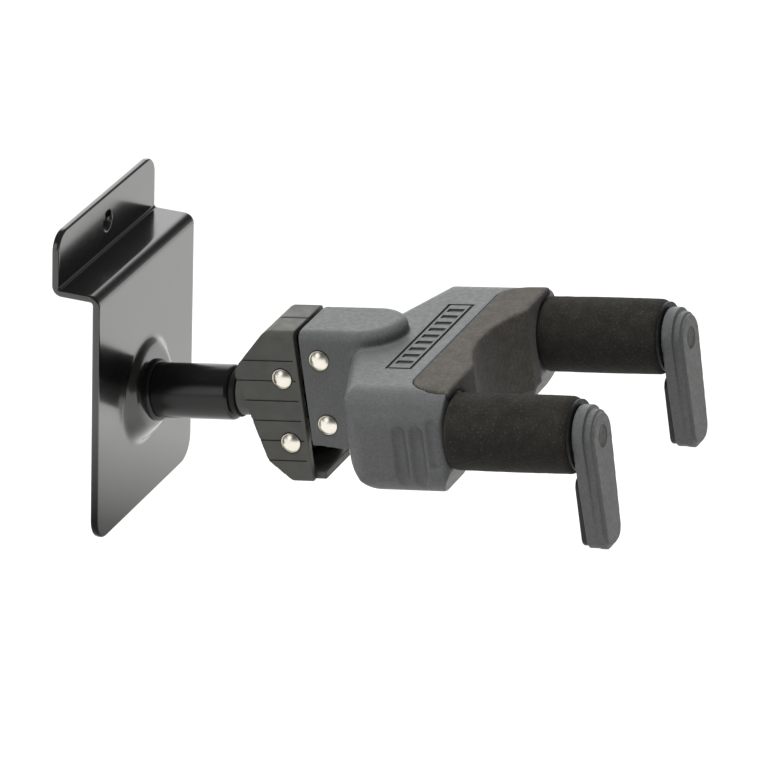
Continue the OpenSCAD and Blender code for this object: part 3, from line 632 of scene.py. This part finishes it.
FOAM_R, TUBE_R = 11.5, 7.05
FOAM_V0, FOAM_V1 = 119.0, 157.0
FOAM_LIP, FOAM_EDGE, FOAM_SWELL, FOAM_STEPS = 1.0, 2.2, 0.1, 36
RIPPLE_DEEP, RIPPLE_ALONG, RIPPLE_AROUND = 0.07, 0.35, 3


def foam_profile():
    """A sleeve with soft rounded ends, barely fuller in the middle."""
    outer = arc(FOAM_V0 + FOAM_LIP, FOAM_R - FOAM_LIP - FOAM_SWELL, FOAM_LIP, 180, 90)
    for k in range(1, FOAM_STEPS):
        t = k / FOAM_STEPS
        v = FOAM_V0 + FOAM_LIP + (FOAM_V1 - FOAM_EDGE - FOAM_V0 - FOAM_LIP) * t
        outer.append((v, FOAM_R - FOAM_SWELL + FOAM_SWELL * math.sin(math.pi * t)))
    outer += arc(FOAM_V1 - FOAM_EDGE, FOAM_R - FOAM_EDGE - FOAM_SWELL, FOAM_EDGE, 90, 0, steps=8)
    return [(FOAM_V0, TUBE_R)] + outer + [(FOAM_V1, TUBE_R), (FOAM_V0, TUBE_R)]


def foam_ripple(v, a):
    """The small unevenness of the foam's skin, in millimetres."""
    spot = (v * RIPPLE_ALONG, RIPPLE_AROUND * math.cos(a), RIPPLE_AROUND * math.sin(a))
    return RIPPLE_DEEP * noise.noise(Vector(spot))


for side in ("left", "right"):
    gate_joint = Vector(joints[side + "_gate_swing"]["pos_m"])
    hinge = POST.inverted() @ gate_joint / MM
    gate = side + "_gate"
    sleeve = lathe(side + "_foam_sleeve", hinge.x, hinge.z, foam_profile(), ripple=foam_ripple)
    piece(sleeve, "yoke", side + "_foam")
    lever = remeshed(from_node(gate + "_arm", gate + "_lever"), FINE_VOXEL, rounds=5)
    piece(lever, gate, gate + "_lever")
    cushion = remeshed(from_node(gate + "_cushion", gate + "_pad"), FINE_VOXEL, rounds=5)
    piece(cushion, gate, gate + "_pad")

# ---- stage -----------------------------------------------------------------
# a plain floor well below the hanger, lit from above; the wall itself is not shown
FLOOR_GAP, FLOOR_HALF = 140 * MM, 8
floor_corners = [(x * FLOOR_HALF, y * FLOOR_HALF, 0) for x, y in ((-1, -1), (1, -1), (1, 1), (-1, 1))]
floor_mesh = bpy.data.meshes.new("floor")
floor_mesh.from_pydata(floor_corners, [], [(0, 1, 2, 3)])
floor = add_object("floor", floor_mesh)
floor.location.z = CAD_LOW.z - FLOOR_GAP
floor_paint = Material("floor_paint", (0.465, 0.46, 0.445), 0.9, spec=0.1).colour((0.455, 0.45, 0.436), 3)
floor.data.materials.append(floor_paint.mat)


ROOM_LEVEL, OVERHEAD_LEVEL = 0.35, 0.1
DIMMING = (0.05, 0.35)  # the sines of the heights where the dimming starts and ends
BEHIND_GLOW = ((0.85, 0.45, 0.28), 1.5, 0.8, 0.97)
SIDE_GLOW = ((-0.84, 0.45, 0.29), 1.3, 0.93, 0.99)


def studio_world(level, overhead, glows):
    """A plain soft room, dimmer overhead, with soft bright patches.

    Each patch is (direction, brightness, edge, core); the last two are cosines.
    """
    world = bpy.data.worlds.new("studio")
    world.use_nodes = True
    tree = world.node_tree
    direction = tree.nodes.new("ShaderNodeTexCoord").outputs["Generated"]

    def ramp(towards, start, end, low, high):
        along = tree.nodes.new("ShaderNodeVectorMath")
        along.operation = "DOT_PRODUCT"
        along.inputs[1].default_value = Vector(towards).normalized()
        tree.links.new(direction, along.inputs[0])
        node = tree.nodes.new("ShaderNodeMapRange")
        node.interpolation_type = "SMOOTHSTEP"
        limits = (("From Min", start), ("From Max", end), ("To Min", low), ("To Max", high))
        for key, value in limits:
            node.inputs[key].default_value = value
        tree.links.new(along.outputs["Value"], node.inputs["Value"])
        return node.outputs[0]

    total = ramp((0, 0, 1), *DIMMING, level, overhead)
    for towards, brightness, edge, core in glows:
        plus = tree.nodes.new("ShaderNodeMath")
        tree.links.new(total, plus.inputs[0])
        tree.links.new(ramp(towards, edge, core, 0, brightness), plus.inputs[1])
        total = plus.outputs[0]
    background = tree.nodes["Background"]
    background.inputs["Color"].default_value = (1, 1, 1, 1)
    tree.links.new(total, background.inputs["Strength"])
    return world


bpy.context.scene.world = studio_world(ROOM_LEVEL, OVERHEAD_LEVEL, [BEHIND_GLOW, SIDE_GLOW])


def soft_sun(name, azimuth, elevation, strength, spread):
    """A distant soft light; all its angles are in degrees, azimuth counted from +X towards +Y."""
    data = bpy.data.lights.new(name, "SUN")
    data.energy = strength
    data.angle = math.radians(spread)
    light = bpy.data.objects.new(name, data)
    bpy.context.scene.collection.objects.link(light)
    a, e = math.radians(azimuth), math.radians(elevation)
    away = Vector((math.cos(a) * math.cos(e), math.sin(a) * math.cos(e), math.sin(e)))
    light.rotation_mode = "QUATERNION"
    light.rotation_quaternion = (-away).to_track_quat("-Z", "Y")
    return light


key = soft_sun("key", azimuth=120, elevation=78, strength=7.9, spread=45)
key.data.color = (0.97, 0.985, 1.0)
key.visible_glossy = False

# ---- camera ----------------------------------------------------------------
AZIMUTH, ELEVATION, ROLL = math.radians(-68.797), math.radians(24.612), math.radians(1.774)
LENS, SENSOR = 288.64, 36.0
CAMERA_PLACE = Vector((-1.56637, -0.68785, 0.81179))
CLIP_START, CLIP_END = 0.05, 50
level_back = Vector((math.sin(AZIMUTH), -math.cos(AZIMUTH), 0))
back = level_back * math.cos(ELEVATION) + Vector((0, 0, math.sin(ELEVATION)))
right = Vector((math.cos(AZIMUTH), math.sin(AZIMUTH), 0))
over = back.cross(right)
cam_x = right * math.cos(ROLL) + over * math.sin(ROLL)
cam_y = over * math.cos(ROLL) - right * math.sin(ROLL)
camera_data = bpy.data.cameras.new("camera")
camera_data.lens = LENS
camera_data.sensor_width = SENSOR
camera_data.clip_start = CLIP_START
camera_data.clip_end = CLIP_END
camera = bpy.data.objects.new("camera", camera_data)
bpy.context.scene.collection.objects.link(camera)
camera.matrix_world = Matrix((
    (cam_x.x, cam_y.x, back.x, CAMERA_PLACE.x),
    (cam_x.y, cam_y.y, back.y, CAMERA_PLACE.y),
    (cam_x.z, cam_y.z, back.z, CAMERA_PLACE.z),
    (0, 0, 0, 1),
))
bpy.context.scene.camera = camera
bpy.context.scene.view_settings.view_transform = "Standard"
